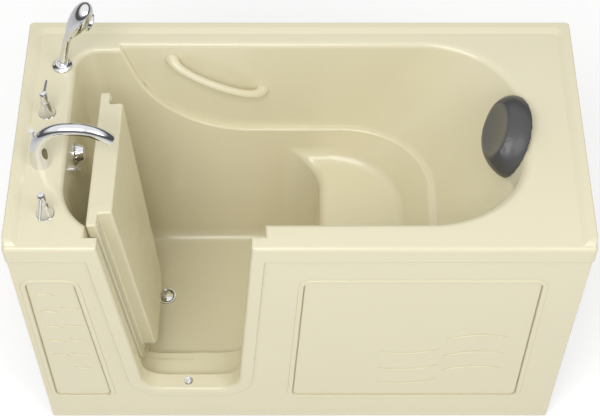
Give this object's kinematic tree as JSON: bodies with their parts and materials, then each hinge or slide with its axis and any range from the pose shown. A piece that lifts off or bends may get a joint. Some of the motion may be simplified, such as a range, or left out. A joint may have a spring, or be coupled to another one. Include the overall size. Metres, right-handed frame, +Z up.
{
  "type": "walk-in soaking bathtub",
  "caption": "Walk-in soaking bathtub with an inward-opening side door, moulded seat, deck-mounted taps, hand shower, grab bar, headrest, front access panels and a levelling frame.",
  "frame": {"origin": "centre of the tub's plan at floor level, under the feet", "axes": "+X along the tub from the tap end to the head end, +Y from the front to the rear, +Z up"},
  "size_m": [1.524, 0.762, 1.2069],
  "materials": {
    "acrylic": "gloss",
    "chrome": "polished",
    "steel": "satin",
    "brass": "satin",
    "pipe": "satin",
    "seal": "matte",
    "foot_rubber": "matte",
    "pad": "matte",
    "spray": "satin"
  },
  "bodies": {
    "tub": {"tub_shell": "acrylic", "front_apron": "acrylic", "left_access_panel": "acrylic", "right_access_panel": "acrylic", "panel_clips": "steel", "front_rail": "steel", "rear_rail": "steel", "left_rail": "steel", "right_rail": "steel", "front_left_post": "steel", "rear_left_post": "steel", "front_right_post": "steel", "rear_right_post": "steel", "floor_bearer_1": "steel", "floor_bearer_2": "steel", "floor_bearer_3": "steel", "front_seat_support": "steel", "rear_seat_support": "steel", "levelling_feet": "foot_rubber", "foot_nuts": "steel", "frame_hinge_leaf": "steel", "hinge_pin": "steel", "latch_keeper": "chrome", "grab_bar": "acrylic", "grab_bar_bolts": "steel", "headrest": "pad", "spout": "chrome", "spout_shank": "brass", "rear_handle_base": "chrome", "front_handle_base": "chrome", "rear_valve": "brass", "front_valve": "brass", "shower_holder": "chrome", "drain_flange": "chrome", "drain_shoe": "pipe", "waste_pipe": "pipe", "overflow_pipe": "pipe", "overflow_elbow": "pipe", "tailpiece": "pipe", "overflow_plate": "chrome", "sill_drain": "chrome", "sill_drain_nut": "brass"},
    "door": {"door_leaf": "acrylic", "door_gasket": "seal", "door_hinge_leaf": "steel", "latch_base": "chrome"},
    "latch": {"latch_lever": "chrome"},
    "rear_tap": {"rear_lever": "chrome"},
    "front_tap": {"front_lever": "chrome"},
    "diverter": {"diverter_knob": "chrome"},
    "shower": {"hand_shower": "chrome", "spray_face": "spray"},
    "overflow": {"overflow_knob": "chrome"},
    "plug": {"drain_plug": "chrome"}
  },
  "joints": [
    {"name": "door_swing", "type": "hinge", "parent": "tub", "child": "door", "pos_m": [-0.55285, -0.30851, 0.95769], "axis": [-0.0758, -0.0219, 0.9969], "range_deg": [-90, 0]},
    {"name": "latch_turn", "type": "hinge", "parent": "door", "child": "latch", "pos_m": [-0.52927, 0.09763, 0.65629], "axis": [-0.9971, 0.0017, -0.0758], "range_deg": [0, 90]},
    {"name": "rear_tap_turn", "type": "hinge", "parent": "tub", "child": "rear_tap", "pos_m": [-0.684, 0.061, 1], "axis": [0, 0, 1], "range_deg": [-90, 0]},
    {"name": "front_tap_turn", "type": "hinge", "parent": "tub", "child": "front_tap", "pos_m": [-0.658, -0.269, 1], "axis": [0, 0, 1], "range_deg": [0, 90]},
    {"name": "diverter_lift", "type": "slide", "parent": "tub", "child": "diverter", "axis": [0, 0, 1], "range_m": [0, 0.012]},
    {"name": "hand_shower_lift", "type": "slide", "parent": "tub", "child": "shower", "axis": [0.2419, 0, 0.9703], "range_m": [0, 0.06]},
    {"name": "overflow_turn", "type": "hinge", "parent": "tub", "child": "overflow", "pos_m": [-0.616, 0, 0.857], "axis": [0.9982, 0, 0.0599], "range_deg": [0, 90]},
    {"name": "drain_plug_lift", "type": "slide", "parent": "tub", "child": "plug", "axis": [0, 0, 1], "range_m": [0, 0.008]}
  ],
  "couplings": [
    {"joint": "drain_plug_lift", "follows": "overflow_turn", "m_per_rad": 0.005}
  ]
}
